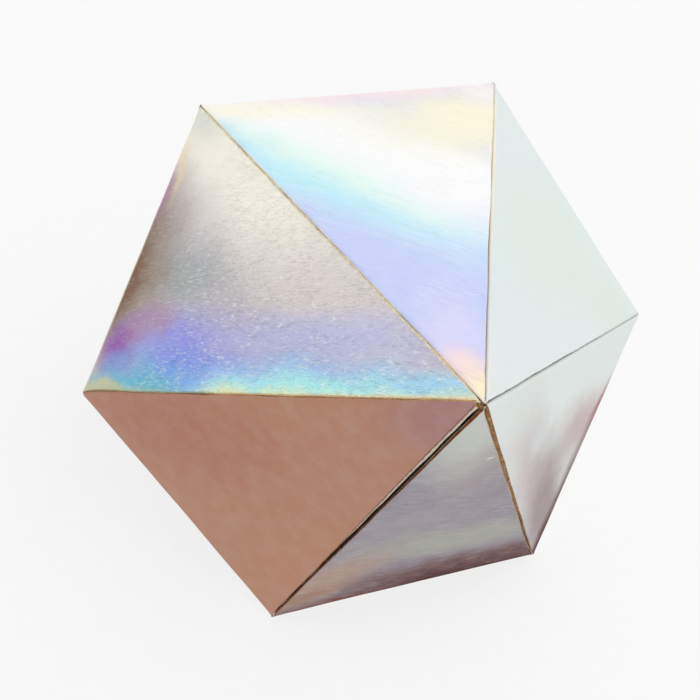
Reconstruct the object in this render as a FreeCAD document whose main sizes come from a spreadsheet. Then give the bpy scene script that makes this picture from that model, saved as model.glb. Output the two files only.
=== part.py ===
import FreeCAD, Part
import os
import Sketcher
from FreeCAD import Vector

# A closed ball of folded card with six triangular panels above its rim and six below, glued up from
# equal units. A unit is one sheet. Two outer panels are folded along the rim, an inner panel is
# folded on beside each of them, and glue flaps lie inside the edges where the sheet closes.

# Driving dimensions, in millimetres and degrees.
SIZES = {
    "unit_count": "6",
    # From the middle of the ball to a rim corner, and from the middle to a tip.
    "corner_radius": "43.0",
    "half_height": "39.8",
    # The sheet: its thickness, the inside radius of a fold and the glue between two layers.
    "card_thickness": "0.45",
    "fold_radius": "0.12",
    "glue_film": "0.1",
    # How far a cut edge stands back from the plane of its seam.
    "cut_setback": "0.18",
    # Glue flaps: their width, how far the ends stay from the corners, and the slope of the ends.
    "flap_width": "7.0",
    "flap_end": "5.0",
    "flap_bevel": "50.0",
    # The gap left between the inner panels of two units, and how far each unit was glued out.
    "seam_gap": "0.16",
    "first_offset": "0.0",
    "second_offset": "0.12",
    "third_offset": "0.02",
    "fourth_offset": "0.10",
    "fifth_offset": "0.04",
    "sixth_offset": "0.08",
}
OFFSET_ALIASES = [alias for alias in SIZES if alias.endswith("_offset")]

doc = FreeCAD.newDocument("paper_ball")
sheet = doc.addObject("Spreadsheet::Sheet", "Sizes")
for row, (alias, value) in enumerate(SIZES.items(), start=1):
    sheet.set(f"A{row}", alias)
    sheet.set(f"B{row}", value)
    sheet.setAlias(f"B{row}", alias)
form = doc.addObject("App::VarSet", "Form")
doc.recompute()


def derive(kind, name, expression):
    """Adds one worked-out value to the form."""
    form.addProperty(f"App::Property{kind}", name, "Form")
    form.setExpression(name, expression)
    doc.recompute()


def turned_edge(panel, across, up, turn):
    """The frame of a panel's edge: the panel's own frame, moved to a corner and turned in its plane."""
    return f"{panel} * placement(vector({across}; {up}; 0); rotation(vector(0; 0; 1); {turn}))"


# One unit. The middle of the ball is its origin, the ball's axis is Z, and the middle of its rim
# fold lies on +X.
derive("Angle", "half_sector", "180 deg / Sizes.unit_count")
derive("Float", "apothem", "Sizes.corner_radius * cos(half_sector)")
derive("Float", "half_rim", "Sizes.corner_radius * sin(half_sector)")
derive("Float", "slant", "sqrt(apothem ^ 2 + Sizes.half_height ^ 2)")
derive("Float", "side_edge", "sqrt(Sizes.corner_radius ^ 2 + Sizes.half_height ^ 2)")
derive("Angle", "slope", "atan(Sizes.half_height / apothem)")
derive("Angle", "outer_angle", "atan(slant / half_rim)")
derive("Angle", "inner_angle", "atan(Sizes.corner_radius / Sizes.half_height)")

# The angles inside the unit at its rim, at its side edges and at the ball's axis.
derive("Angle", "rim_corner", "2 * slope")
derive("Angle", "side_corner", "acos(Sizes.half_height * sin(half_sector) / slant)")
derive("Angle", "axis_corner", "2 * half_sector")

# How far short of an edge a flat panel stops, so that the bend can carry on from it to the next
# panel. A flap turns in under the panel that covers it, below the card and the glue.
derive("Float", "bend_radius", "Sizes.fold_radius + Sizes.card_thickness")
derive("Float", "flap_depth", "Sizes.card_thickness + Sizes.glue_film")
derive("Float", "rim_setback", "bend_radius / tan(rim_corner / 2)")
derive("Float", "side_setback", "bend_radius / tan(side_corner / 2)")
for edge in ["side", "axis"]:
    corner = f"{edge}_corner"
    plain_setback = f"bend_radius / tan({corner} / 2)"
    derive("Float", f"{edge}_flap_root", f"{plain_setback} + flap_depth / sin({corner})")
    derive("Float", f"{edge}_flap_start", f"{plain_setback} + flap_depth / tan({corner})")

# Frames on the panels and their edges: x along the edge, y into the panel, z out of its outer face.
derive(
    "Placement",
    "outer_panel",
    "placement(vector(apothem; 0; 0); rotation(vector(0; 1; 0); slope) * rotation(vector(0; 0; 1); 90))",
)
derive(
    "Placement",
    "inner_panel",
    "placement(vector(0; 0; 0); rotation(vector(0; 0; 1); half_sector) * rotation(vector(1; 1; 1); -120))",
)
derive("Placement", "fold_edge", turned_edge("outer_panel", "half_rim", "0", "180 deg - outer_angle"))
derive("Placement", "closing_edge", turned_edge("outer_panel", "0", "slant", "180 deg + outer_angle"))
derive(
    "Placement",
    "flap_edge",
    turned_edge("inner_panel", "0", "Sizes.corner_radius", "180 deg + inner_angle"),
)
# The lower half of a unit is its upper half, turned over about X.
derive("Placement", "upper_half", "placement(vector(0; 0; 0); rotation(vector(1; 0; 0); 0))")
derive("Placement", "lower_half", "placement(vector(0; 0; 0); rotation(vector(1; 0; 0); 180))")


def plate(name, frame, depth, corners, thickness, symmetric=False):
    """A flat plate under a frame's plane, from an outline given as corner expressions."""
    sketch = doc.addObject("Sketcher::SketchObject", f"{name}_outline")
    below = f"placement(vector(0; 0; -({depth})); rotation(vector(0; 0; 1); 0))"
    sketch.setExpression("Placement", f"{frame} * {below}")
    points = [Vector(*(float(form.evalExpression(value)) for value in corner), 0) for corner in corners]
    for start, end in zip(points, points[1:] + points[:1]):
        sketch.addGeometry(Part.LineSegment(start, end), False)
    count = len(points)
    for index in range(count):
        sketch.addConstraint(Sketcher.Constraint("Coincident", index, 2, (index + 1) % count, 1))
    for index, (point, corner) in enumerate(zip(points, corners)):
        for axis, at, value in zip("xy", point, corner):
            distance = Sketcher.Constraint(f"Distance{axis.upper()}", -1, 1, index, 1, at)
            number = sketch.addConstraint(distance)
            sketch.renameConstraint(number, f"{axis}{index}")
            sketch.setExpression(f"Constraints.{axis}{index}", value)
    solid = doc.addObject("Part::Extrusion", name)
    solid.Base = sketch
    solid.DirMode = "Normal"
    solid.Solid = True
    solid.Reversed = True
    solid.Symmetric = symmetric
    solid.setExpression("LengthFwd", thickness)
    return solid


def triangle(half_base, height, base_angle, base_setback, right_setback, left_setback):
    """The corners of a triangular panel, with each side set back from its theoretical edge."""
    right_shift = f"({right_setback}) / sin({base_angle})"
    left_shift = f"({left_setback}) / sin({base_angle})"
    foot = f"{half_base} * (1 - ({base_setback}) / {height})"
    peak = f"{height} * (1 - ({left_shift} + {right_shift}) / (2 * {half_base}))"
    return [
        (f"-{foot} + {left_shift}", base_setback),
        (f"{foot} - {right_shift}", base_setback),
        (f"({left_shift} - {right_shift}) / 2", peak),
    ]


def flap_outline(edge_start, edge_end, root):
    """The corners of a glue flap along an edge, with sloping ends."""
    taper = f"(Sizes.flap_width - {root}) / tan(Sizes.flap_bevel)"
    return [
        (f"{edge_start} + Sizes.flap_end", root),
        (f"{edge_end} - Sizes.flap_end", root),
        (f"{edge_end} - Sizes.flap_end - {taper}", "Sizes.flap_width"),
        (f"{edge_start} + Sizes.flap_end + {taper}", "Sizes.flap_width"),
    ]


def bend(name, frame, start, length, setback, corner):
    """A bend along an edge, tangent to the panel of the frame and turning away from it."""
    rounds = []
    for skin, radius in [("outside", "Form.bend_radius"), ("inside", "Sizes.fold_radius")]:
        round_bar = doc.addObject("Part::Cylinder", f"{name}_{skin}")
        round_bar.setExpression("Radius", radius)
        round_bar.setExpression("Height", length)
        place = f"placement(vector({start}; {setback}; -Form.bend_radius); rotation(vector(1; 0; 1); 180))"
        round_bar.setExpression("Placement", f"{frame} * {place}")
        rounds.append(round_bar)
    rounds[0].setExpression("Angle", f"180 deg - {corner}")
    ring = doc.addObject("Part::Cut", name)
    ring.Base = rounds[0]
    ring.Tool = rounds[1]
    return ring


CARD = "Sizes.card_thickness"
pieces = []
for half, other, axis_setback in [
    ("upper", "lower", "Sizes.cut_setback"),
    ("lower", "upper", "Form.axis_flap_root"),
]:
    turned = f"Form.{half}_half"
    outer_corners = triangle(
        "Form.half_rim", "Form.slant", "Form.outer_angle",
        "Form.rim_setback", "Form.side_setback", "Sizes.cut_setback",
    )
    pieces.append(plate(f"{half}_outer_panel", f"{turned} * Form.outer_panel", "0", outer_corners, CARD))
    inner_corners = triangle(
        "Sizes.half_height", "Sizes.corner_radius", "Form.inner_angle",
        axis_setback, "Form.side_setback", "Form.side_flap_root",
    )
    pieces.append(plate(f"{half}_inner_panel", f"{turned} * Form.inner_panel", "0", inner_corners, CARD))
    pieces.append(
        bend(
            f"{half}_side_fold", f"{turned} * Form.fold_edge",
            "0", "Form.side_edge", "Form.side_setback", "Form.side_corner",
        )
    )
    # The flap that closes this inner panel to the outer panel of the other half.
    pieces.append(
        bend(
            f"{half}_flap_fold", f"{turned} * Form.flap_edge",
            "Sizes.flap_end", "Form.side_edge - 2 * Sizes.flap_end",
            "Form.side_flap_root", "Form.side_corner",
        )
    )
    pieces.append(
        plate(
            f"{half}_flap", f"Form.{other}_half * Form.closing_edge", "Form.flap_depth",
            flap_outline("0", "Form.side_edge", "Form.side_flap_start"), CARD,
        )
    )

pieces.append(
    bend(
        "rim_fold", "Form.outer_panel",
        "-Form.half_rim", "2 * Form.half_rim", "Form.rim_setback", "Form.rim_corner",
    )
)
# The flap along the ball's axis turns from the lower inner panel in behind the upper one.
pieces.append(
    bend(
        "axis_flap_fold", "Form.lower_half * Form.inner_panel",
        "Sizes.flap_end - Sizes.half_height", "2 * (Sizes.half_height - Sizes.flap_end)",
        "Form.axis_flap_root", "Form.axis_corner",
    )
)
pieces.append(
    plate(
        "axis_flap", "Form.inner_panel", "Form.flap_depth",
        flap_outline("-Sizes.half_height", "Sizes.half_height", "Form.axis_flap_start"), CARD,
    )
)
folded_sheet = doc.addObject("Part::MultiFuse", "folded_sheet")
folded_sheet.Shapes = pieces

# The room that one unit has in the ball: its sector, between its upper and its lower slope. It
# trims the ends of the folds, so that the corners come to points. It reaches past the unit inwards,
# outwards, and above and below.
derive("Float", "reach_out", "2 * Sizes.corner_radius")
derive("Float", "reach_in", "0.5 * apothem")
derive("Float", "slope_reach", "Sizes.half_height * (1 + reach_in / apothem)")
sector = plate(
    "sector", "Form.upper_half", "0",
    [
        ("0", "0"),
        ("Form.reach_out * cos(Form.half_sector)", "-Form.reach_out * sin(Form.half_sector)"),
        ("Form.reach_out * cos(Form.half_sector)", "Form.reach_out * sin(Form.half_sector)"),
    ],
    "2 * Form.slope_reach", symmetric=True,
)
slopes = plate(
    "slopes", "placement(vector(0; 0; 0); rotation(vector(1; 0; 0); 90))", "0",
    [
        ("Form.apothem", "0"),
        ("-Form.reach_in", "Form.slope_reach"),
        ("-Form.reach_in", "-Form.slope_reach"),
    ],
    "Form.reach_out", symmetric=True,
)
unit_room = doc.addObject("Part::Common", "unit_room")
unit_room.Base = sector
unit_room.Tool = slopes

# The ball lies on the lower outer panel of its first unit, with one tip towards -Y.
derive("Float", "glued_out", "Sizes.seam_gap / (2 * sin(half_sector))")
derive(
    "Placement",
    "resting_ball",
    "placement(vector(0; 0; (apothem + glued_out + Sizes.first_offset) * sin(slope)); "
    "rotation(vector(1; 0; 0); slope))",
)
units = []
for index in range(round(float(SIZES["unit_count"]))):
    unit = doc.addObject("Part::Common", f"folded_unit_{index + 1}")
    unit.Label = f"folded_unit_{index + 1}"
    unit.Base = folded_sheet
    unit.Tool = unit_room
    offset = f"Sizes.{OFFSET_ALIASES[index % len(OFFSET_ALIASES)]}"
    turn = f"placement(vector(0; 0; 0); rotation(vector(0; 0; 1); {2 * index} * Form.half_sector - 90 deg))"
    shift = f"placement(vector(Form.glued_out + {offset}; 0; 0); rotation(vector(0; 0; 1); 0))"
    unit.setExpression("Placement", f"Form.resting_ball * {turn} * {shift}")
    units.append(unit)
doc.recompute()

for made in doc.Objects:
    if "Invalid" in made.State or "Error" in made.State:
        raise RuntimeError(f"{made.Name} was not made: {made.State}")
for unit in units:
    if unit.Shape.isNull() or not unit.Shape.isValid() or len(unit.Shape.Solids) != 1:
        raise RuntimeError(f"{unit.Label} is not one valid solid")
os.makedirs("parts", exist_ok=True)
for unit in units:
    unit.Shape.exportStep(f"parts/{unit.Label}.step")
    print(unit.Label, round(unit.Shape.Volume, 1), unit.Shape.BoundBox)
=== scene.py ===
import math

import bpy
import numpy as np
from mathutils import Matrix, Vector, noise


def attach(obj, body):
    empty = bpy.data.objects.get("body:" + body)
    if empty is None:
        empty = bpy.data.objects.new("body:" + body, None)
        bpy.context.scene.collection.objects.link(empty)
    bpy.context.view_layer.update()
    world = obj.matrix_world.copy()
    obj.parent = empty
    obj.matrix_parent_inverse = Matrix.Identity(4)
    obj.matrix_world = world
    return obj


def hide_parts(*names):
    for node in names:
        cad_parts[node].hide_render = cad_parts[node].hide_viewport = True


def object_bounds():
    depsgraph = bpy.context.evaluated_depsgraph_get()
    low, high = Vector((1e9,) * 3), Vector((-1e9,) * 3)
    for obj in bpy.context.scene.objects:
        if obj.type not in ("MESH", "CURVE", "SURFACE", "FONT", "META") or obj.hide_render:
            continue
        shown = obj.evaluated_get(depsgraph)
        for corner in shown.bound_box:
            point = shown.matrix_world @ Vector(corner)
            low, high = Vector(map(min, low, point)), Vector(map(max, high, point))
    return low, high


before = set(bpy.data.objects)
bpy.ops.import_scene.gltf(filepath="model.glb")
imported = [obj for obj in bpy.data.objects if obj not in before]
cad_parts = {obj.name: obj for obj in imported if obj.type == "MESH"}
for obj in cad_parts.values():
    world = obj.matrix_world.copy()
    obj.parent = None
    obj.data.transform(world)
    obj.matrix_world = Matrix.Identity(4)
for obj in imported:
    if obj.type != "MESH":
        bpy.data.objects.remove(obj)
cad_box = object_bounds()
scene = bpy.context.scene

# A hollow ball of folded card with a shimmering foil face, glued up from six wedge-shaped units.
# Lengths below are in millimetres and angles in degrees.
MM = 0.001
CORNER_RADIUS = 43.0
HALF_HEIGHT = 39.8
CARD = 0.45
GLUE_FILM = 0.1
SEAM_GAP = 0.16
UNIT_OFFSETS = [0.0, 0.12, 0.02, 0.10, 0.04, 0.08]
UNIT_COUNT = len(UNIT_OFFSETS)
SECTOR = 360 / UNIT_COUNT

HALF_SECTOR = math.radians(SECTOR / 2)
APOTHEM = CORNER_RADIUS * math.cos(HALF_SECTOR)
HALF_RIM = CORNER_RADIUS * math.sin(HALF_SECTOR)
SLANT = math.hypot(APOTHEM, HALF_HEIGHT)
SIDE_EDGE = math.hypot(CORNER_RADIUS, HALF_HEIGHT)
SLOPE = math.atan2(HALF_HEIGHT, APOTHEM)
GLUED_OUT = SEAM_GAP / (2 * math.sin(HALF_SECTOR))
REST_HEIGHT = (APOTHEM + GLUED_OUT + UNIT_OFFSETS[0]) * math.sin(SLOPE)

# The folds: outside radius and card thickness where it is pressed, and how soon a fold pinches
# together towards its corner.
FOLD_RADIUS = 0.4
FOLD_CARD = 0.32
PINCH = 1.0
LEAST_PINCH = 0.14

# The glue flaps: width, how far they stay from the corners, and the slope of their ends.
FLAP_WIDTH = 7.0
FLAP_END = 5.0
FLAP_BEVEL = 50.0

# Faces along a panel's height and width, round a fold, and across an inner panel and a flap, and
# how evenly a panel's rows and columns lie. They are closer together towards its edges.
ROWS = 112
PANEL_COLUMNS = 46
FOLD_COLUMNS = 6
INNER_COLUMNS = 10
FLAP_COLUMNS = 4
ROW_EVENNESS = 0.75
COLUMN_EVENNESS = 0.45

# How far up from the rim an outer panel still bends, how far from its corner an inner panel opens
# out, and how much of its width it covers at the corner.
RIM_LIFT_REACH = 4.0
OPENING_REACH = 3.0
CORNER_COVER = 0.98

# The cut edge: how its set-back grows up the panel, from how far off the tip its bare core
# narrows, and how much of its lean the next column of the card takes.
SETBACK_CURVE = 1.3
CORE_NARROWS = 4.0
LEAN_CARRIED = 0.5

# The card's thickness at a corner as a share of the whole, how far that reaches, and how many
# columns beside a fold are pressed with it.
CORNER_CARD_SHARE = 0.25
CORNER_REACH = 2.0
PRESSED_COLUMNS = 2

# The relief of an outer panel: how far from the edges it fades, the height of its waves and of
# its fine ripples, and the distance to a slanted side as a share of that along the row.
RELIEF_FADE = 5.0
WAVE_HEIGHT = 0.10
RIPPLE_HEIGHT = 0.025
SIDE_SHARE = 0.93

# How far the whole sheet drifts from its ideal shape, how quickly that changes along it, and the
# seed that keeps it the same each time.
DRIFT = 0.05
DRIFT_SCALE = 0.16
DRIFT_SEED = 7

# Material slots of a unit.
UPPER_FOIL, LOWER_FOIL, PLAIN_FOIL, CARD_CORE, CARD_BACK, FLAP_IN_SHADE = range(6)

RIM_FOLD_END = np.array([APOTHEM, HALF_RIM, 0.0])
RIM_CUT_END = np.array([APOTHEM, -HALF_RIM, 0.0])
TIP = np.array([0.0, 0.0, HALF_HEIGHT])
FAR_TIP = -TIP
OUTER_NORMAL = np.array([HALF_HEIGHT, 0.0, APOTHEM]) / SLANT
INNER_NORMAL = np.array([-math.sin(HALF_SECTOR), math.cos(HALF_SECTOR), 0.0])
FAR_NORMAL = OUTER_NORMAL * [1, 1, -1]
UP_SLOPE = np.array([-APOTHEM, 0.0, HALF_HEIGHT]) / SLANT
INTO_PANEL = np.cross(TIP - RIM_CUT_END, OUTER_NORMAL)
INTO_PANEL = INTO_PANEL / np.linalg.norm(INTO_PANEL)

# How the seams of each unit were closed: how far its cut edge stands back at the rim and at the
# tip, how much of the card's core shows there, and how far the tip itself stops short.
SEAMS = [
    {"rim": -0.16, "tip": 0.40, "core": (-0.20, -0.40), "short": 0.15},
    {"rim": -0.28, "tip": 0.10, "core": (-0.20, 0.34), "short": 0.15},
    {"rim": -0.08, "tip": 0.08, "core": (-0.10, -0.10), "short": 0.15},
    {"rim": -0.14, "tip": 0.20, "core": (-0.12, 0.04), "short": 0.15},
    {"rim": 0.08, "tip": 0.10, "core": (0.16, 0.22), "short": 0.30},
    {"rim": -0.50, "tip": -0.46, "core": (-0.30, -0.30), "short": 0.55},
]

# The bare core of the card at each unit's cut edge: its lighter and darker tone. The tones differ
# from unit to unit, and unit 1's dark brown ones are painted shade in its seam.
CORE_AND_SEAM_SHADE_TONES = [
    ((176, 104, 54), (104, 54, 24)),
    ((176, 130, 76), (116, 74, 36)),
    ((150, 146, 128), (96, 92, 76)),
    ((170, 142, 102), (112, 84, 52)),
    ((234, 224, 198), (200, 180, 140)),
    ((222, 172, 108), (172, 120, 66)),
]

# The ball is hand made: where each rim corner, in order round the ball from unit 1, and each tip
# lies off the regular shape, along the part's axes.
CORNER_SHIFTS = [
    (0.0, 0.42, 0.0),
    (-0.05, -0.02, -0.12),
    (-0.05, -0.12, -0.05),
    (0.05, 0.0, -0.1),
    (0.05, 0.24, 0.16),
    (0.02, -0.72, 0.0),
]
TIP_SHIFT = (0.18, 0.0, -0.55)

# The unit whose tip was pushed over the others', how far, and how soon that fades below the tip.
PUSHED_UNIT = 4
TIP_PUSH = (0.1, -0.5, 0.02)
TIP_PUSH_POWER = 9

# The hidden lower half of a unit repeats the seam and shimmer of the unit so many places on, with
# unevenness of its own.
LOWER_STEP = 2
LOWER_SEED = 50


def turned_over(vectors):
    """The lower half of a unit is its upper half, turned over about X."""
    return vectors * [1, -1, -1]


def smooth(value):
    """Goes smoothly from 0 to 1 as the value does."""
    value = np.clip(value, 0, 1)
    return value * value * (3 - 2 * value)


def pinched(distance):
    """How open a fold is at a distance from the corner that it runs into."""
    return LEAST_PINCH + (1 - LEAST_PINCH) * (1 - np.exp(-np.maximum(distance, 0) / PINCH))


def turned_normals(start, end, parts):
    """The normals of a bend, from one panel's to the next panel's."""
    angle = math.acos(float(start @ end))
    turns = np.linspace(0, 1, parts)[:, None] * angle
    return (np.sin(angle - turns) * start + np.sin(turns) * end) / math.sin(angle)


def spread(count, evenness):
    """Positions from 0 to 1 that lie closer together towards both ends."""
    even = np.linspace(0, 1, count + 1)
    return evenness * even + (1 - evenness) * (1 - np.cos(math.pi * even)) / 2


def along(start, end, positions):
    """Points on a straight line."""
    return start + (end - start) * np.asarray(positions)[..., None]


def wander(positions, seed, reach, wavelength):
    """A smooth uneven line, for edges that were cut and creased by hand."""
    places = [Vector((position / wavelength, seed * 7.3, seed * 1.9)) for position in positions]
    return np.array([noise.noise(place) * reach for place in places])


def side_fold(rows, radius):
    """The bend between the outer and the inner panel."""
    share = 1 + float(OUTER_NORMAL @ INNER_NORMAL)
    fold_line = along(RIM_FOLD_END, TIP, rows)
    centre = fold_line - radius[:, None] * (OUTER_NORMAL + INNER_NORMAL) / share
    bend = turned_normals(OUTER_NORMAL, INNER_NORMAL, FOLD_COLUMNS + 1)
    points = centre[:, None] + radius[:, None, None] * bend[None]
    return points, np.broadcast_to(bend, points.shape)


def outer_panel(seam, seed, rows, fold_start):
    """The outer panel, from its cut edge to the side fold."""
    edge_mm = rows * SIDE_EDGE
    back = seam["rim"] + (seam["tip"] - seam["rim"]) * rows ** SETBACK_CURVE
    back = back + wander(edge_mm, seed + 11, reach=0.05, wavelength=1.4)
    back = back + wander(edge_mm, seed + 5, reach=0.09, wavelength=9.0)
    cut_line = along(RIM_CUT_END, TIP, rows) + INTO_PANEL * (back * pinched(edge_mm))[:, None]
    across = spread(PANEL_COLUMNS, COLUMN_EVENNESS)[None, :, None]
    points = cut_line[:, None] + (fold_start[:, None] - cut_line[:, None]) * across

    # Its first rows start at the rim fold.
    lift = rim_radius(points[0, :, 1]) * math.tan(math.pi / 2 - SLOPE)
    lift = lift * (1 - smooth(rows[:, None] * SLANT / RIM_LIFT_REACH))
    points = points + UP_SLOPE * lift[..., None]
    return points, np.broadcast_to(OUTER_NORMAL, points.shape)


def inner_panel(rows, radius, fold_end):
    """The inner panel, from the side fold to where the unit closes, and the middle of that bend."""
    gap = float(INNER_NORMAL @ FAR_NORMAL)
    depth = CARD + GLUE_FILM
    across = (-(depth + radius) + radius * gap) / (1 - gap * gap)
    closing = along(RIM_FOLD_END, FAR_TIP, rows)
    inward = (-radius - across * gap)[:, None] * INNER_NORMAL
    centre = closing + across[:, None] * FAR_NORMAL + inward
    flap_start = centre + radius[:, None] * INNER_NORMAL
    share = np.linspace(0, 1, INNER_COLUMNS + 1)[None, 1:, None]
    opened = smooth(rows * SIDE_EDGE / OPENING_REACH)[:, None, None]
    reach = (flap_start - fold_end)[:, None] * share
    corner_reach = (closing - fold_end)[:, None] * share * CORNER_COVER
    points = fold_end[:, None] + reach * opened + corner_reach * (1 - opened)
    return points, np.broadcast_to(INNER_NORMAL, points.shape), centre


def glue_flap(rows, radius, centre):
    """The glue flap, with its fold, that turns in under the other half's outer panel."""
    bend = turned_normals(INNER_NORMAL, FAR_NORMAL, FOLD_COLUMNS + 1)[1:]
    fold = centre[:, None] + radius[:, None, None] * bend[None]
    edge_way = (FAR_TIP - RIM_FOLD_END) / SIDE_EDGE
    inward = np.cross(FAR_NORMAL, edge_way)
    inward = inward * np.sign(float(inward @ (RIM_CUT_END - RIM_FOLD_END)))
    from_middle = rows * SIDE_EDGE - SIDE_EDGE / 2
    half_length = SIDE_EDGE / 2 - FLAP_END
    out = np.linspace(0, FLAP_WIDTH, FLAP_COLUMNS + 1)[1:]
    shear = 1 - out[None] / math.tan(math.radians(FLAP_BEVEL)) / half_length
    flap = fold[:, -1:] + inward * out[None, :, None]
    flap = flap + edge_way * (from_middle[:, None] * (shear - 1))[..., None]
    fold_normals = np.broadcast_to(bend, fold.shape)
    flap_normals = np.broadcast_to(FAR_NORMAL, flap.shape)
    points = np.concatenate([fold, flap], axis=1)
    return points, np.concatenate([fold_normals, flap_normals], axis=1)


def edge_lean(seam, seed, rows, fold_open, shape):
    """How far the back of the card leans out at the cut edge, so that its core shows."""
    edge_mm = rows * SIDE_EDGE
    core = seam["core"][0] + (seam["core"][1] - seam["core"][0]) * rows
    core = core + wander(edge_mm, seed + 23, reach=0.08, wavelength=2.2)
    core = core * fold_open * pinched((SIDE_EDGE - edge_mm) / CORE_NARROWS)
    lean = np.zeros(shape)
    lean[:, 0] = -INTO_PANEL * core[:, None]
    lean[:, 1] = lean[:, 0] * LEAN_CARRIED
    return lean


def half_skin(seam, seed):
    """The outer skin of the upper half of a unit: its points, its normals, how the card leans at
    the cut edge, and which rows have a glue flap."""
    rows = spread(ROWS, ROW_EVENNESS) * (1 - seam["short"] / SLANT)
    edge_mm = rows * SIDE_EDGE
    fold_open = pinched(edge_mm) * pinched(SIDE_EDGE - edge_mm)
    radius = FOLD_RADIUS * fold_open * (1 + wander(edge_mm, seed, reach=0.3, wavelength=3.0))
    fold, fold_normals = side_fold(rows, radius)
    outer, outer_normals = outer_panel(seam, seed, rows, fold[:, 0])
    inner, inner_normals, flap_centre = inner_panel(rows, radius, fold[:, -1])
    flap, flap_normals = glue_flap(rows, radius, flap_centre)
    points = np.concatenate([outer, fold[:, 1:], inner, flap], axis=1)
    normals = np.concatenate([outer_normals, fold_normals[:, 1:], inner_normals, flap_normals], axis=1)
    lean = edge_lean(seam, seed, rows, fold_open, points.shape)
    flap_rows = (edge_mm > FLAP_END) & (edge_mm < SIDE_EDGE - FLAP_END)
    return points, normals, lean, flap_rows


def rim_radius(across):
    """The outside radius of the rim fold at places along the rim."""
    room = HALF_RIM - np.abs(across)
    uneven = wander(across, 41, reach=0.25, wavelength=4.0)
    return FOLD_RADIUS * pinched(room) * (1 + uneven)


def ripples(points, scale, shift):
    """Smooth noise at points."""
    places = [Vector(point * scale + shift) for point in points.reshape(-1, 3)]
    return np.array([noise.noise(place) for place in places]).reshape(points.shape[:-1])


def panel_relief(points, seed, bow):
    """How far an outer panel swells or sinks: a shallow bow and faint waves, none at its edges."""
    height = (points @ UP_SLOPE) - float(RIM_FOLD_END @ UP_SLOPE)
    share = np.clip(height / SLANT, 0, 1)
    half_width = HALF_RIM * (1 - share) + 1e-6
    across = np.clip(np.abs(points[..., 1]) / half_width, 0, 1)
    border = np.minimum((1 - across) * half_width * SIDE_SHARE, height)
    fade = smooth(border / RELIEF_FADE)
    waves = ripples(points, 0.11, seed * 3.7) * WAVE_HEIGHT
    fine = ripples(points, 0.45, -seed * 2.1) * RIPPLE_HEIGHT
    bowed = bow * (1 - across ** 2) * (1 - share) * share * 4
    return fade * (bowed + waves + fine)


def half_parts(seam, seed, bow):
    """The skin of one half, with its relief, and the thickness of the card at each point."""
    points, normals, lean, flap_rows = half_skin(seam, seed)
    panel = slice(0, PANEL_COLUMNS + 1)
    relief = panel_relief(points[:, panel], seed, bow)
    points[:, panel] += normals[:, panel] * relief[..., None]
    near = np.full(points.shape[:2], 1e3)
    for corner in (RIM_FOLD_END, RIM_CUT_END, TIP, FAR_TIP):
        near = np.minimum(near, np.linalg.norm(points - corner, axis=2))
    thickness = CARD * (CORNER_CARD_SHARE + (1 - CORNER_CARD_SHARE) * smooth(near / CORNER_REACH))
    position = np.arange(points.shape[1])
    fold_middle = PANEL_COLUMNS + FOLD_COLUMNS / 2
    flap_middle = PANEL_COLUMNS + FOLD_COLUMNS + INNER_COLUMNS + FOLD_COLUMNS / 2
    for middle in (fold_middle, flap_middle):
        beside = np.abs(position - middle) - FOLD_COLUMNS / 2
        pressed = 1 - smooth(beside / PRESSED_COLUMNS)
        thickness = thickness * (1 - pressed * (1 - FOLD_CARD / CARD))
    return points, normals, lean, thickness, flap_rows


def cells(numbers, rows, columns, material):
    """The faces between neighbouring rows and columns of a grid of point numbers."""
    made = []
    for row in rows:
        for column in columns:
            corners = (
                numbers[row, column], numbers[row, column + 1],
                numbers[row + 1, column + 1], numbers[row + 1, column],
            )
            made.append((corners, material))
    return made


def rim_rows(upper, lower):
    """The rows of the rim fold between the upper and the lower outer panel, and their normals."""
    radius = rim_radius(upper[:, 1])
    share = 1 + float(OUTER_NORMAL @ FAR_NORMAL)
    bend = turned_normals(OUTER_NORMAL, FAR_NORMAL, FOLD_COLUMNS + 1)
    for step in range(1, FOLD_COLUMNS):
        turn = step / FOLD_COLUMNS
        row = upper * (1 - turn) + lower * turn
        middle = radius[:, None] * (bend[step] - (OUTER_NORMAL + FAR_NORMAL) / share)
        row[:, 0] = APOTHEM + middle[:, 0]
        row[:, 2] = middle[:, 2]
        yield row, bend[step]


def border_edges(faces):
    """The edges that only one face has, in the direction in which it has them."""
    borders = {}
    for corners, _ in faces:
        for start, end in zip(corners, corners[1:] + corners[:1]):
            if (end, start) in borders:
                del borders[(end, start)]
            else:
                borders[(start, end)] = True
    return list(borders)


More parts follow.
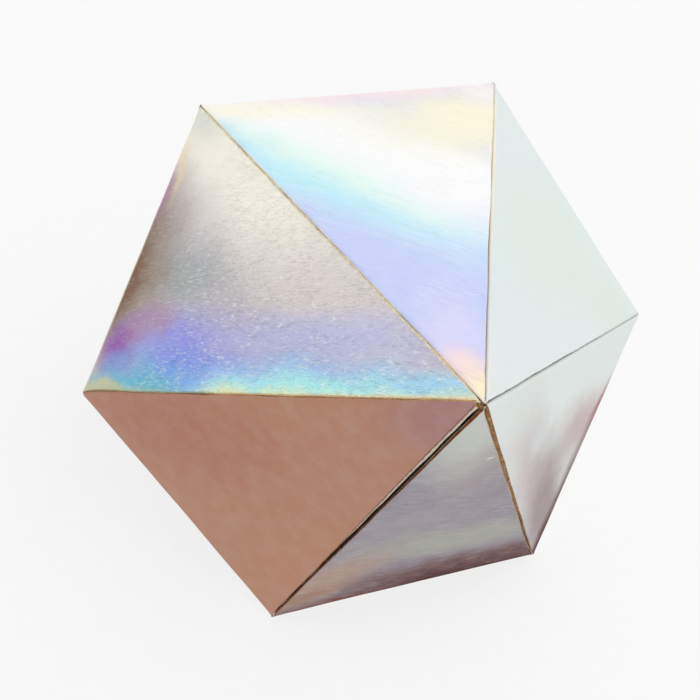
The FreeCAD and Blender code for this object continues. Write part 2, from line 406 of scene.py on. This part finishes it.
def unit_mesh(seams, seed, bows):
    """One folded sheet: its outer skin, the skin behind it and the cut edges between them."""
    points, normals, leans, thicknesses, faces, grids = [], [], [], [], [], []
    count = 0
    inner_start = PANEL_COLUMNS + FOLD_COLUMNS
    flap_start = inner_start + INNER_COLUMNS
    for half, foil in enumerate((UPPER_FOIL, LOWER_FOIL)):
        parts = half_parts(seams[half], seed + half * LOWER_SEED, bows[half])
        half_points, half_normals, lean, thickness, flap_rows = parts
        if half == 1:
            half_points, half_normals, lean = [turned_over(v) for v in (half_points, half_normals, lean)]
        numbers = np.arange(count, count + thickness.size).reshape(thickness.shape)
        count += thickness.size
        grids.append(numbers)
        points.append(half_points.reshape(-1, 3))
        normals.append(half_normals.reshape(-1, 3))
        leans.append(lean.reshape(-1, 3))
        thicknesses.append(thickness.reshape(-1))
        faces += cells(numbers, range(ROWS), range(inner_start), foil)
        faces += cells(numbers, range(ROWS), range(inner_start, flap_start), PLAIN_FOIL)
        in_flap = [row for row in range(ROWS) if flap_rows[row] and flap_rows[row + 1]]
        # The glue flaps get a dark brown card that is painted shade deep in the seams.
        faces += cells(numbers, in_flap, range(flap_start, numbers.shape[1] - 1), FLAP_IN_SHADE)

    # The rim fold joins the two outer panels.
    upper_edge = grids[0][0, :PANEL_COLUMNS + 1]
    lower_edge = grids[1][0, PANEL_COLUMNS::-1]
    skin = np.concatenate(points)
    fold_card = np.minimum(thicknesses[0][upper_edge], FOLD_CARD)
    strip = [upper_edge]
    for row, normal in rim_rows(skin[upper_edge], skin[lower_edge]):
        points.append(row)
        normals.append(np.broadcast_to(normal, row.shape))
        leans.append(np.zeros(row.shape))
        thicknesses.append(fold_card)
        strip.append(np.arange(count, count + len(row)))
        count += len(row)
    strip = np.array(strip + [lower_edge])
    halfway = FOLD_COLUMNS // 2
    upper_part = cells(strip, range(halfway), range(PANEL_COLUMNS), UPPER_FOIL)
    lower_part = cells(strip, range(halfway, FOLD_COLUMNS), range(PANEL_COLUMNS), LOWER_FOIL)
    faces += [(corners[::-1], material) for corners, material in upper_part + lower_part]

    # The skin behind lies the card's thickness deeper, and strips of core close the cut edges.
    points, normals, leans = [np.concatenate(part) for part in (points, normals, leans)]
    behind = points - normals * np.concatenate(thicknesses)[:, None] + leans
    places = [Vector(point * DRIFT_SCALE + seed * 1.3) for point in points]
    drift = np.array([noise.noise_vector(place) for place in places]) * DRIFT
    vertices = np.concatenate([points + drift, behind + drift])
    all_faces = [corners for corners, _ in faces]
    slots = [material for _, material in faces]
    all_faces += [tuple(corner + count for corner in corners[::-1]) for corners, _ in faces]
    slots += [CARD_BACK] * len(faces)
    for start, end in border_edges(faces):
        all_faces.append((end, start, start + count, end + count))
        slots.append(CARD_CORE)
    used = sorted({corner for corners in all_faces for corner in corners})
    renumbered = {old: new for new, old in enumerate(used)}
    all_faces = [tuple(renumbered[corner] for corner in corners) for corners in all_faces]
    return vertices[used], all_faces, slots


def placed(vertices, index):
    """A unit's points in the part's frame: glued beside its neighbours, then laid on its panel."""
    mid_angle = math.radians(index * SECTOR - 90)
    moved = vertices + [GLUED_OUT + UNIT_OFFSETS[index], 0, 0]
    cos_mid, sin_mid = math.cos(mid_angle), math.sin(mid_angle)
    x = moved[:, 0] * cos_mid - moved[:, 1] * sin_mid
    y = moved[:, 0] * sin_mid + moved[:, 1] * cos_mid
    z = moved[:, 2]
    first, second = np.array(CORNER_SHIFTS[index]), np.array(CORNER_SHIFTS[index - 1])
    share = np.clip(moved[:, 0] / APOTHEM, 0, 1)
    side = np.clip(moved[:, 1] / (2 * HALF_RIM), -share / 2, share / 2)
    shift = first * (share / 2 + side)[:, None] + second * (share / 2 - side)[:, None]
    up_share = np.clip(z / HALF_HEIGHT, 0, 1)[:, None]
    shift = shift + np.array(TIP_SHIFT) * up_share
    if index + 1 == PUSHED_UNIT:
        shift = shift + np.array(TIP_PUSH) * up_share ** TIP_PUSH_POWER
    cos_slope, sin_slope = math.cos(SLOPE), math.sin(SLOPE)
    laid_y = y * cos_slope - z * sin_slope
    laid_z = y * sin_slope + z * cos_slope + REST_HEIGHT
    laid = np.stack([x, laid_y, laid_z], axis=1)
    return np.clip((laid + shift) * MM, cad_box[0], cad_box[1])


def panel_frame(index, lower):
    """The frame of an outer panel in the part: x along the rim to the folded side, y up the slope."""
    side = -1 if lower else 1
    across = np.array([0, side, 0])
    up = np.array([-APOTHEM, 0, side * HALF_HEIGHT]) / SLANT
    out = np.cross(across, up)
    turn = Matrix.Rotation(math.radians(index * SECTOR - 90), 4, "Z")
    lay = Matrix.Translation((0, 0, REST_HEIGHT)) @ Matrix.Rotation(SLOPE, 4, "X")
    local = Matrix(np.stack([across, up, out], axis=1).tolist()).to_4x4()
    local.translation = (APOTHEM + GLUED_OUT + UNIT_OFFSETS[index], 0, 0)
    return lay @ turn @ local


def shade(red, green, blue):
    """A colour as it looks on a screen, from 0 to 255, in the shader's linear scale."""
    linear = []
    for value in (red / 255, green / 255, blue / 255):
        dark = value <= 0.04045
        linear.append(value / 12.92 if dark else ((value + 0.055) / 1.055) ** 2.4)
    return linear + [1]


# A colour oval reaches through the whole card, and is at full strength in this share of it.
OVAL_DEPTH = 60
OVAL_CORE = 0.15


class Paint:
    """The nodes of one material."""

    def __init__(self, name):
        self.material = bpy.data.materials.new(name)
        self.material.use_nodes = True
        self.tree = self.material.node_tree
        self.shader = self.tree.nodes["Principled BSDF"]

    def add(self, kind, inputs=(), **settings):
        """A node with its settings and inputs. An input is a value or another node's socket."""
        node = self.tree.nodes.new(f"ShaderNode{kind}")
        for name, value in settings.items():
            setattr(node, name, value)
        for key, value in dict(inputs).items():
            self.put(value, node.inputs[key])
        return node

    def put(self, value, socket):
        """Links a socket or sets a plain value."""
        if isinstance(value, bpy.types.NodeSocket):
            self.tree.links.new(value, socket)
        else:
            socket.default_value = value

    def place(self, panel):
        """Millimetres in a panel's own frame."""
        where = self.add("TexCoord").outputs["Object"]
        mapping = self.add("Mapping", {"Vector": where}, vector_type="TEXTURE")
        mapping.inputs["Location"].default_value = panel.translation * MM
        mapping.inputs["Rotation"].default_value = panel.to_euler()
        mapping.inputs["Scale"].default_value = (MM, MM, MM)
        return mapping.outputs[0]

    def noise(self, vector, scale, detail=2.0, roughness=0.5, stretch=1, angle=0, seed=0, output="Fac"):
        """Noise over a vector, stretched along one direction if asked."""
        if stretch != 1:
            mapping = self.add("Mapping", {"Vector": vector}, vector_type="TEXTURE")
            mapping.inputs["Rotation"].default_value = (0, 0, math.radians(angle))
            mapping.inputs["Scale"].default_value = (stretch, 1, 1)
            mapping.inputs["Location"].default_value = (seed, seed, seed)
            vector = mapping.outputs[0]
        inputs = {"Vector": vector, "Scale": scale, "Detail": detail, "Roughness": roughness}
        return self.add("TexNoise", inputs).outputs[output]

    def wobble(self, vector, scale, detail, reach):
        """How far each place along a panel is pushed aside, up to half a reach."""
        slow = self.noise(vector, scale, detail, output="Color")
        centred = self.vector_maths("SUBTRACT", slow, (0.5, 0.5, 0.5))
        return self.vector_maths("MULTIPLY", centred, (reach, reach, 0))

    def ramp(self, value, start, end, low=0.0, high=1.0):
        """A value taken smoothly from one range to another."""
        inputs = {"Value": value, "From Min": start, "From Max": end, "To Min": low, "To Max": high}
        return self.add("MapRange", inputs, interpolation_type="SMOOTHSTEP").outputs[0]

    def mix(self, factor, first, second, blend="MIX"):
        """Two colours mixed."""
        node = self.add("Mix", data_type="RGBA", blend_type=blend)
        self.put(factor, node.inputs[0])
        self.put(first, node.inputs[6])
        self.put(second, node.inputs[7])
        return node.outputs[2]

    def maths(self, operation, first, second):
        """Arithmetic on two values."""
        node = self.add("Math", operation=operation)
        self.put(first, node.inputs[0])
        self.put(second, node.inputs[1])
        return node.outputs[0]

    def total(self, *values):
        """The sum of several values."""
        result = values[0]
        for value in values[1:]:
            result = self.maths("ADD", result, value)
        return result

    def vector_maths(self, operation, first, second, output=0):
        """Arithmetic on two vectors."""
        return self.add("VectorMath", {0: first, 1: second}, operation=operation).outputs[output]

    def soft_patch(self, vector, centre, size, angle, strength):
        """The mask of a soft oval: its strength at the middle, nothing at its border."""
        mapping = self.add("Mapping", {"Vector": vector}, vector_type="TEXTURE")
        mapping.inputs["Location"].default_value = (*centre, 0)
        mapping.inputs["Rotation"].default_value = (0, 0, math.radians(angle))
        mapping.inputs["Scale"].default_value = (*size, OVAL_DEPTH)
        length = self.add("VectorMath", {0: mapping.outputs[0]}, operation="LENGTH").outputs["Value"]
        return self.ramp(length, 1.0, OVAL_CORE, 0.0, strength)

    def seen_directly(self):
        """1 where the camera or a reflection looks, 0 where light only bounces."""
        rays = self.add("LightPath").outputs
        seen = rays["Is Camera Ray"]
        for ray in ("Is Glossy Ray", "Is Transmission Ray"):
            seen = self.maths("MAXIMUM", seen, rays[ray])
        return seen

    def finish(self, colour, roughness, height, strength, depth):
        """Sets the shader's colour, its roughness and a bump whose depth is in millimetres."""
        bump = self.add("Bump", {"Height": height, "Strength": strength, "Distance": depth * MM})
        self.put(colour, self.shader.inputs["Base Color"])
        self.put(roughness, self.shader.inputs["Roughness"])
        self.put(bump.outputs[0], self.shader.inputs["Normal"])


# The shimmer of each outer panel, as broad soft ovals of colour laid over one another: the colour,
# the oval's middle across and up the panel, its half length and half width, the angle of its
# length, and its strength. Along the folded edge colours run at about 111 degrees. Besides the
# foil's own rainbow colours, the base colours and ovals hold painted light: painted highlights,
# painted glints, painted reflections of dark surroundings and painted shade along the rim.
# The crease is the cracked foil along the folds, partly a painted highlight on the fold: its
# colour, width and strength, and how much narrower it gets towards the rim and towards the tip.
# The crease shade line is a painted shade line, a darker colour beside it. Brushing is the
# strength of brushed streaks, and the grain runs at the grain angle. The bow is how far the upper
# and the lower panel swell. The gloss is how metallic the foil is, how strongly it mirrors and how
# thick its clear coat is.
SHIMMERS_AND_PAINTED_LIGHT = {
    "unit_1": {
        # Painted light on this panel: the pale band across its middle is a painted highlight, the small
        # white oval a painted glint, and the dark ovals along the rim a painted dark reflection.
        "base": (159, 151, 161),
        "ovals": [
            ((176, 166, 167), (3, 40), (14, 7), 80, 0.8),
            ((168, 160, 166), (-2, 27), (18, 7), 0, 0.8),
            ((176, 176, 168), (5, 17), (26, 8), -10, 0.95),
            ((124, 92, 88), (9, 4), (28, 8), -8, 0.95),
            ((112, 74, 70), (8, 4), (28, 7), -5, 0.8),
            ((76, 24, 22), (6, -1.5), (30, 7), -2, 1.0),
            ((186, 158, 142), (-14, 11), (16, 8), 40, 0.9),
            ((172, 136, 116), (-17, 6), (12, 5), 20, 0.8),
            ((126, 68, 52), (-12, -1), (16, 6), 0, 0.95),
            ((206, 210, 202), (0, 49), (15, 8), 90, 0.95),
            ((255, 255, 255), (3.4, 40.6), (0.5, 0.24), 10, 1.0),
        ],
        "crease": ((212, 194, 164), 0.34, 0.8, 0.0, 0.0),
        "grain": "brushed",
        "grain_angle": -14,
        "brushing": 0.15,
        "bow": (0.12, -0.1),
        "gloss": (0.16, 0.0, 0.0),
    },
    "unit_2": {
        # The dark ovals along this panel's rim are a painted dark reflection.
        "base": (228, 234, 231),
        "ovals": [
            ((203, 192, 194), (-9, 19), (40, 9), 70, 0.95),
            ((202, 186, 188), (1, 7), (20, 9), 97, 1.0),
            ((216, 220, 218), (-2.5, 26), (14, 3.4), 88, 0.9),
            ((166, 152, 154), (-12, 9), (22, 10), 62, 0.95),
            ((140, 122, 120), (-7, 0), (18, 6), 0, 1.0),
            ((176, 132, 130), (5, -0.5), (9, 5), 0, 1.0),
            ((88, 34, 32), (-18, -1), (12, 7), 10, 1.0),
            ((228, 234, 232), (14, 8), (22, 8.5), 104, 1.0),
            ((226, 234, 230), (0, 46), (14, 7), 90, 0.7),
        ],
        "crease": ((226, 228, 220), 0.16, 0.6, 0.0, 0.0),
        "grain": "brushed",
        "grain_angle": 82,
        "brushing": 0.04,
        "bow": (-0.08, 0.1),
        "gloss": (0.10, 0.0, 0.0),
    },
    "unit_3": {
        "base": (225, 233, 233),
        "ovals": [
            ((219, 233, 223), (0, 16), (24, 14), 70, 0.9),
            ((221, 230, 222), (-15, 10), (16, 10), 50, 0.8),
            ((230, 231, 231), (1, 50), (8, 5), 90, 0.8),
        ],
        "crease": ((252, 243, 218), 0.62, 0.9, 0.0, 0.16),
        "grain": "smooth",
        "grain_angle": 0,
        "bow": (0.08, -0.1),
        "gloss": (0.35, 0.35, 0.06),
    },
    "unit_4": {
        # The white ovals on this panel are painted highlights.
        "base": (203, 213, 253),
        "ovals": [
            ((206, 236, 253), (-3, 30), (16, 7), -45, 0.9),
            ((196, 243, 254), (9.4, 16.6), (26, 8.5), -49, 1.0),
            ((222, 255, 242), (7.4, 14.4), (34, 5), -49, 0.9),
            ((255, 255, 255), (1.4, 12.4), (56, 10.5), -49, 1.0),
            ((255, 255, 255), (12, 4.6), (20, 5), -38, 0.9),
            ((255, 255, 255), (-9, 18), (20, 10), -45, 1.0),
            ((255, 250, 222), (-15, 9), (24, 12), -14, 1.0),
            ((255, 253, 232), (10, 3), (20, 4), -10, 0.8),
            ((255, 234, 236), (-4, -0.5), (28, 5), 0, 0.95),
            ((254, 246, 244), (-19, 2), (6, 6), 0, 0.9),
            ((255, 251, 234), (18, 1.4), (8, 3), -20, 0.9),
            ((228, 220, 253), (0, 45), (8, 5), 90, 0.7),
            ((254, 226, 218), (0, 50), (5, 4), 90, 0.9),
            ((254, 244, 205), (0, 52.5), (2.6, 3), 90, 0.95),
        ],
        "crease": ((254, 250, 242), 0.3, 0.9, 0.0, 0.0),
        "grain": "brushed",
        "grain_angle": -40,
        "brushing": 0.2,
        "bow": (0.1, 0.1),
        "gloss": (0.35, 0.35, 0.06),
    },
    "unit_5": {
        # The broad pale peach oval on this panel is a painted highlight, and the brown ovals along its
        # rim are painted shade.
        "base": (205, 197, 202),
        "ovals": [
            ((255, 251, 236), (-15.5, 13), (40, 14), 68, 1.0),
            ((226, 214, 210), (-3, 34), (22, 7), 80, 0.6),
            ((218, 222, 214), (-21, 2), (9, 5), 60, 0.7),
            ((170, 176, 178), (1, 9), (13, 8), 100, 0.85),
            ((146, 126, 106), (3, 3), (20, 8), 4, 0.75),
            ((124, 88, 62), (3, -0.5), (18, 5.5), 0, 1.0),
            ((176, 120, 168), (-9, 0.2), (7, 1.4), 8, 0.7),
            ((252, 222, 172), (-12, 1.6), (7, 1.1), 8, 0.45),
            ((176, 168, 216), (7, 21), (24, 7), 104, 0.85),
            ((146, 152, 240), (9, 14), (14, 6), 104, 0.9),
            ((150, 88, 176), (12.5, 3.4), (8, 4), 150, 1.0),
            ((122, 160, 245), (12, 15), (16, 4.4), 112, 0.9),
            ((192, 196, 238), (1.0, 34), (24, 5), 108, 0.8),
            ((164, 208, 253), (6.2, 33), (28, 3.4), 110, 0.9),
            ((176, 246, 250), (6.4, 35), (30, 2.3), 111.5, 1.0),
            ((100, 192, 216), (16.8, 7.8), (15, 4), 115, 1.0),
            ((168, 224, 255), (1, 48), (9, 3.4), 100, 0.95),
            ((222, 252, 212), (7.9, 34), (34, 1.9), 111.5, 1.0),
            ((252, 246, 196), (10.4, 29), (28, 1.3), 111.5, 0.8),
            ((190, 200, 166), (19.0, 4.2), (13, 1.7), 112, 0.9),
            ((178, 142, 172), (8, 7.5), (7, 4), 130, 0.7),
            ((124, 150, 220), (15.2, 4.2), (6, 2.6), 130, 0.7),
            ((200, 202, 166), (19.6, 2.4), (6, 1.7), 118, 0.9),
        ],
        "crease": ((246, 234, 196), 0.42, 0.9, 0.0, 0.0),
        "grain": "hammered",
        "grain_angle": 111.5,
        "bow": (0.15, -0.08),
        "gloss": (0.35, 0.35, 0.06),
    },
    "unit_6": {
        # This panel's tan base and ovals are a painted reflection of dark surroundings in the foil.
        "base": (184, 132, 104),
        "ovals": [
            ((176, 116, 94), (-11, 12), (24, 13), 60, 0.8),
            ((184, 134, 112), (2, 36), (20, 10), 90, 0.7),
            ((170, 124, 124), (0, 50), (12, 7), 90, 0.8),
            ((188, 132, 100), (14, 10), (22, 8), 100, 0.6),
        ],
        "crease": ((212, 204, 190), 0.14, 0.9, 0.34, 0.0),
        # A painted shade line beside the crease along this panel's side fold.
        "crease_shade_line": (132, 90, 56),
        "grain": "smooth",
        "grain_angle": 0,
        "bow": (0.1, 0.12),
        "gloss": (0.35, 0.35, 0.06),
    },
}


# The shimmer of the foil inside a seam.
PLAIN_SHIMMER = SHIMMERS_AND_PAINTED_LIGHT["unit_3"]

# The bump of each grain, in millimetres, and the tones that it adds.
BUMP_DEPTHS = {"smooth": 0.006, "brushed": 0.005, "hammered": 0.085}
FOIL_BUMP = 0.6
CARD_BUMP = 0.5
CARD_BUMP_DEPTH = 0.02
WHITE = (255, 255, 255)
# GLINT is a painted glint on the hammered foil's ridges, and WRINKLE_SHADE is painted shade in its
# wrinkles.
GLINT = (255, 253, 248)
GLINT_STRENGTH = 0.42
WRINKLE_SHADE = (120, 106, 104)
STREAK_SHADE = (120, 112, 120)
COAT_ROUGHNESS = 0.2

# The way across a panel to its side fold, how strong the painted shade line beside a crease is,
# and the tones of the card.
FOLD_WAY = (SLANT / math.hypot(SLANT, HALF_RIM), HALF_RIM / math.hypot(SLANT, HALF_RIM), 0)
CREASE_SHADE_STRENGTH = 0.85
BACK_TONES = ((186, 156, 122), (160, 128, 94))
# The glue flaps' tones are painted shade: dark brown for the shadow deep in the seams.
FLAP_SHADE_TONES = ((46, 28, 18), (24, 12, 7))
WORN_TONE = (236, 218, 186)
WORN_SHARE = 0.25


def hammered_grain(paint, colour, where, fine_place, up_panel, angle, seed):
    """Finely wrinkled foil: painted glints on its ridges and painted shade in darker specks between,
    calmer near the rim.
    """
    wrinkles = paint.noise(fine_place, 2.6, 2.0, 0.5, stretch=4.5, angle=angle, seed=seed)
    specks = paint.noise(where, 3.4, 2.0, 0.6, stretch=3.0, angle=angle, seed=seed)
    from_ridge = paint.maths("ABSOLUTE", paint.maths("SUBTRACT", wrinkles, 0.5), 0.0)
    ridges = paint.ramp(from_ridge, 0.07, 0.0)
    calm = paint.ramp(paint.noise(where, 0.14, 2.0), 0.34, 0.50, 0.6, 1.0)
    strength = paint.maths("MULTIPLY", calm, paint.ramp(up_panel, 5.0, 15.0, 0.3, 1.0))
    height = paint.maths("MULTIPLY", paint.maths("ADD", ridges, specks), strength)
    bright = paint.maths("MULTIPLY", ridges, paint.ramp(specks, 0.40, 0.60, 0.0, GLINT_STRENGTH))
    dark = paint.ramp(specks, 0.46, 0.32, 0.0, 0.14)
    # Painted glints on the ridges, then painted shade in the specks.
    colour = paint.mix(paint.maths("MULTIPLY", bright, strength), colour, shade(*GLINT))
    colour = paint.mix(paint.maths("MULTIPLY", dark, strength), colour, shade(*WRINKLE_SHADE))
    return colour, height


def brushed_grain(paint, colour, where, fine_place, brushing, angle, seed):
    """Brushed foil: long fine streaks, stronger in some places than in others."""
    streaks = paint.noise(fine_place, 3.0, 3.0, 0.6, stretch=9.0, angle=angle, seed=seed)
    strength = paint.ramp(paint.noise(where, 0.12, 2.0), 0.30, 0.65, 0.25, 1.0)
    bright = paint.maths("MULTIPLY", paint.ramp(streaks, 0.48, 0.70, 0.0, brushing), strength)
    dark = paint.maths("MULTIPLY", paint.ramp(streaks, 0.48, 0.32, 0.0, brushing * 0.4), strength)
    colour = paint.mix(bright, colour, shade(*WHITE))
    colour = paint.mix(dark, colour, shade(*STREAK_SHADE))
    return colour, streaks


def cracked_and_highlit_folds(paint, colour, recipe, where, up_panel):
    """Cracked foil along the side fold and the rim fold, partly a painted highlight on the folds, with a
    painted shade line beside the side fold where one is given.
    """
    tone, width, strength, rim_thins, tip_thins = recipe["crease"]
    to_fold = paint.vector_maths("DOT_PRODUCT", where, FOLD_WAY, "Value")
    from_fold = paint.maths("SUBTRACT", HALF_RIM * FOLD_WAY[0], to_fold)
    ragged = paint.ramp(paint.noise(where, 1.4, 4.0, 0.7), 0.3, 0.7, -0.05, 0.05)
    at_tip = paint.ramp(up_panel, SLANT * 0.4, SLANT * 0.8, 0.0, tip_thins)
    at_rim = paint.ramp(up_panel, SLANT * 0.85, SLANT * 0.25, 0.0, rim_thins)
    at_corner = paint.ramp(up_panel, 4.0, 0.5, 0.0, 0.5)
    near_fold = paint.total(from_fold, ragged, at_tip, at_rim, at_corner)
    # A painted shade line beside the side fold's crease.
    if "crease_shade_line" in recipe:
        beside = paint.ramp(near_fold, width + 0.24, width + 0.12, 0.0, CREASE_SHADE_STRENGTH)
        colour = paint.mix(beside, colour, shade(*recipe["crease_shade_line"]))
    # The crease: cracked foil, partly a painted highlight on the fold, along the side fold and then the
    # rim fold.
    on_side = paint.ramp(near_fold, width * 1.5, width * 0.7, 0.0, strength)
    colour = paint.mix(on_side, colour, shade(*tone))
    near_rim = paint.maths("ADD", up_panel, ragged)
    on_rim = paint.ramp(near_rim, width * 1.2, width * 0.5, 0.0, strength / 2)
    return paint.mix(on_rim, colour, shade(*tone))


def foil_material(name, recipe, panel, mirrored, seed):
    """Foil on card, with its shimmer and the painted light laid into it, its grain, and the cracked foil
    along its folds, partly a painted highlight.
    """
    paint = Paint(name)
    where = paint.place(panel)
    up_panel = paint.add("SeparateXYZ", {0: where}).outputs[1]
    slow_push = paint.wobble(where, 0.09, 2.0, reach=6)
    fine_push = paint.wobble(where, 0.8, 3.0, reach=1.2)
    fine_place = paint.vector_maths("ADD", where, fine_push)
    warped = paint.vector_maths("ADD", paint.vector_maths("ADD", where, slow_push), fine_push)

    # The base colour and ovals: the foil's own colours, with painted highlights, painted reflections and
    # painted shade among them.
    colour = shade(*recipe["base"])
    side = -1 if mirrored else 1
    for tone, centre, size, angle, strength in recipe["ovals"]:
        turned = 180 - angle if mirrored else angle
        mask = paint.soft_patch(warped, (side * centre[0], centre[1]), size, turned, strength)
        colour = paint.mix(mask, colour, shade(*tone))
    cloud = paint.noise(where, 0.35, 4.0, 0.6)
    colour = paint.mix(paint.ramp(cloud, 0.35, 0.7, 0.0, 0.06), colour, shade(*WHITE))

    # Every foil has a fine roll, and some are brushed or hammered over it.
    grain, angle = recipe["grain"], recipe["grain_angle"]
    height = paint.noise(where, 5.0, 3.0, 0.6)
    if grain == "hammered":
        colour, height = hammered_grain(paint, colour, where, fine_place, up_panel, angle, seed)
    if grain == "brushed":
        brushing = recipe["brushing"]
        colour, streaks = brushed_grain(paint, colour, where, fine_place, brushing, angle, seed)
        height = paint.maths("ADD", height, streaks)
    colour = cracked_and_highlit_folds(paint, colour, recipe, where, up_panel)
    paint.finish(colour, paint.ramp(cloud, 0.3, 0.7, 0.34, 0.46), height, FOIL_BUMP, BUMP_DEPTHS[grain])
    for socket, value in zip(("Metallic", "Specular IOR Level", "Coat Weight"), recipe["gloss"]):
        paint.shader.inputs[socket].default_value = value
    paint.shader.inputs["Coat Roughness"].default_value = COAT_ROUGHNESS
    return paint.material


def card_material(name, tones, panel, worn=WORN_SHARE):
    """Bare brown card with its fibres and worn patches, in a lighter and a darker tone."""
    light, dark = tones
    paint = Paint(name)
    where = paint.place(panel)
    fibres = paint.noise(where, 3.2, 4.0, 0.65, stretch=4.0, angle=20)
    blotches = paint.noise(where, 0.7, 3.0, 0.6)
    colour = paint.mix(paint.ramp(fibres, 0.35, 0.65), shade(*dark), shade(*light))
    colour = paint.mix(paint.ramp(blotches, 0.45, 0.75, 0.0, worn), colour, shade(*WORN_TONE))
    roughness = paint.ramp(fibres, 0.3, 0.7, 0.75, 0.9)
    paint.finish(colour, roughness, fibres, CARD_BUMP, CARD_BUMP_DEPTH)
    return paint.material


def build_unit(index):
    """One unit, as a piece that stands for its solid."""
    number = index + 1
    behind = (index + LOWER_STEP) % UNIT_COUNT
    recipe = SHIMMERS_AND_PAINTED_LIGHT[f"unit_{number}"]
    lower_recipe = SHIMMERS_AND_PAINTED_LIGHT[f"unit_{behind + 1}"]
    vertices, faces, slots = unit_mesh((SEAMS[index], SEAMS[behind]), number, recipe["bow"])
    mesh = bpy.data.meshes.new(f"folded_unit_{number}_skin")
    mesh.from_pydata(placed(vertices, index).tolist(), [], faces)
    mesh.update()
    upper = panel_frame(index, False)
    lower = panel_frame(index, True)
    for material in (
        foil_material(f"foil_upper_{number}", recipe, upper, False, number),
        foil_material(f"foil_lower_{number}", lower_recipe, lower, True, number + 20),
        foil_material(f"foil_inside_{number}", PLAIN_SHIMMER, upper, False, number + 40),
        # The core's tones for this unit; unit 1's are darkened as painted shade in its seam.
        card_material(f"card_core_{number}", CORE_AND_SEAM_SHADE_TONES[index], upper),
        card_material(f"card_back_{number}", BACK_TONES, upper),
        # The glue flaps' card is dark brown as painted shade in the seams.
        card_material(f"flap_in_shade_card_{number}", FLAP_SHADE_TONES, upper, worn=0.0),
    ):
        mesh.materials.append(material)
    mesh.polygons.foreach_set("material_index", slots)
    mesh.polygons.foreach_set("use_smooth", [slot != CARD_CORE for slot in slots])
    piece = bpy.data.objects.new(f"unit_{number}_foil_card", mesh)
    scene.collection.objects.link(piece)
    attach(piece, "root")
    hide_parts(f"folded_unit_{number}")


noise.seed_set(DRIFT_SEED)
for unit_index in range(UNIT_COUNT):
    build_unit(unit_index)

# A pale floor, just under the object so that no faces coincide. The camera and the reflections see
# it nearly white, with the object's shadow on it.
FLOOR_REACH = 3.0
FLOOR_DROP = 0.2
FLOOR_TONES = ((243, 243, 243), (246, 246, 246))
FLOOR_GLOW = 0.7
floor_corners = []
for across, along_floor in ((-1, -1), (1, -1), (1, 1), (-1, 1)):
    floor_corners.append((across * FLOOR_REACH, along_floor * FLOOR_REACH, 0))
floor_mesh = bpy.data.meshes.new("pale_floor")
floor_mesh.from_pydata(floor_corners, [], [(0, 1, 2, 3)])
floor = bpy.data.objects.new("pale_floor", floor_mesh)
floor.location.z = -FLOOR_DROP * MM
scene.collection.objects.link(floor)
floor_paint = Paint("pale_floor")
mottle = floor_paint.noise(floor_paint.add("TexCoord").outputs["Object"], 400.0, 3.0)
darker, lighter = [shade(*tone) for tone in FLOOR_TONES]
floor_colour = floor_paint.mix(floor_paint.ramp(mottle, 0.3, 0.7), darker, lighter)
floor_paint.put(floor_colour, floor_paint.shader.inputs["Base Color"])
floor_paint.shader.inputs["Roughness"].default_value = 0.8
floor_paint.shader.inputs["Specular IOR Level"].default_value = 0.1
glow = floor_paint.add("Emission", {"Color": (1, 1, 1, 1), "Strength": 1.0})
glow_share = floor_paint.maths("MULTIPLY", floor_paint.seen_directly(), FLOOR_GLOW)
blend = floor_paint.add("MixShader", {0: glow_share})
floor_paint.put(floor_paint.shader.outputs[0], blend.inputs[1])
floor_paint.put(glow.outputs[0], blend.inputs[2])
floor_paint.put(blend.outputs[0], floor_paint.tree.nodes["Material Output"].inputs["Surface"])
floor_mesh.materials.append(floor_paint.material)

# A soft room that looks pure white.
ROOM_LIGHT = 0.8
SEEN_WHITE = 1.0
world = bpy.data.worlds.new("soft_studio")
scene.world = world
world.use_nodes = True
tree = world.node_tree
tree.nodes.clear()
path = tree.nodes.new("ShaderNodeLightPath")
seen = path.outputs["Is Camera Ray"]
for ray in ("Is Glossy Ray", "Is Transmission Ray"):
    either = tree.nodes.new("ShaderNodeMath")
    either.operation = "MAXIMUM"
    tree.links.new(seen, either.inputs[0])
    tree.links.new(path.outputs[ray], either.inputs[1])
    seen = either.outputs[0]
surround = tree.nodes.new("ShaderNodeMixShader")
tree.links.new(seen, surround.inputs[0])
for socket, strength in ((1, ROOM_LIGHT), (2, SEEN_WHITE)):
    background = tree.nodes.new("ShaderNodeBackground")
    background.inputs["Color"].default_value = (1, 1, 1, 1)
    background.inputs["Strength"].default_value = strength
    tree.links.new(background.outputs[0], surround.inputs[socket])
output = tree.nodes.new("ShaderNodeOutputWorld")
tree.links.new(surround.outputs[0], output.inputs["Surface"])


def soft_light(name, position, target, size, power):
    """A square soft light that points at a target."""
    lamp = bpy.data.lights.new(name, "AREA")
    lamp.size = size
    lamp.energy = power
    light = bpy.data.objects.new(name, lamp)
    light.location = position
    way = Vector(target) - Vector(position)
    light.rotation_euler = way.to_track_quat("-Z", "Y").to_euler()
    scene.collection.objects.link(light)


soft_light("window_light", position=(0.45, -0.1, 0.6), target=(0, 0, 0.03), size=0.5, power=1.1)

# The camera stands where the photograph was taken from. Its lens is as long as its sensor is wide.
LENS = 36.0
CAMERA_PLACE = (-23.86, -63.13, 108.09)
CAMERA_LOOK = (0.1833, 0.6115, -0.7697)
CAMERA_UP = (0.1423, 0.7582, 0.6363)
lens = bpy.data.cameras.new("camera")
lens.lens = LENS
lens.sensor_width = LENS
lens.clip_start = 0.005
camera = bpy.data.objects.new("camera", lens)
backward = -Vector(CAMERA_LOOK).normalized()
rightward = Vector(CAMERA_UP).cross(backward).normalized()
upward = backward.cross(rightward)
camera_turn = Matrix([rightward, upward, backward]).transposed().to_4x4()
camera.matrix_world = Matrix.Translation(Vector(CAMERA_PLACE) * MM) @ camera_turn
scene.collection.objects.link(camera)
scene.camera = camera
scene.view_settings.view_transform = "Standard"
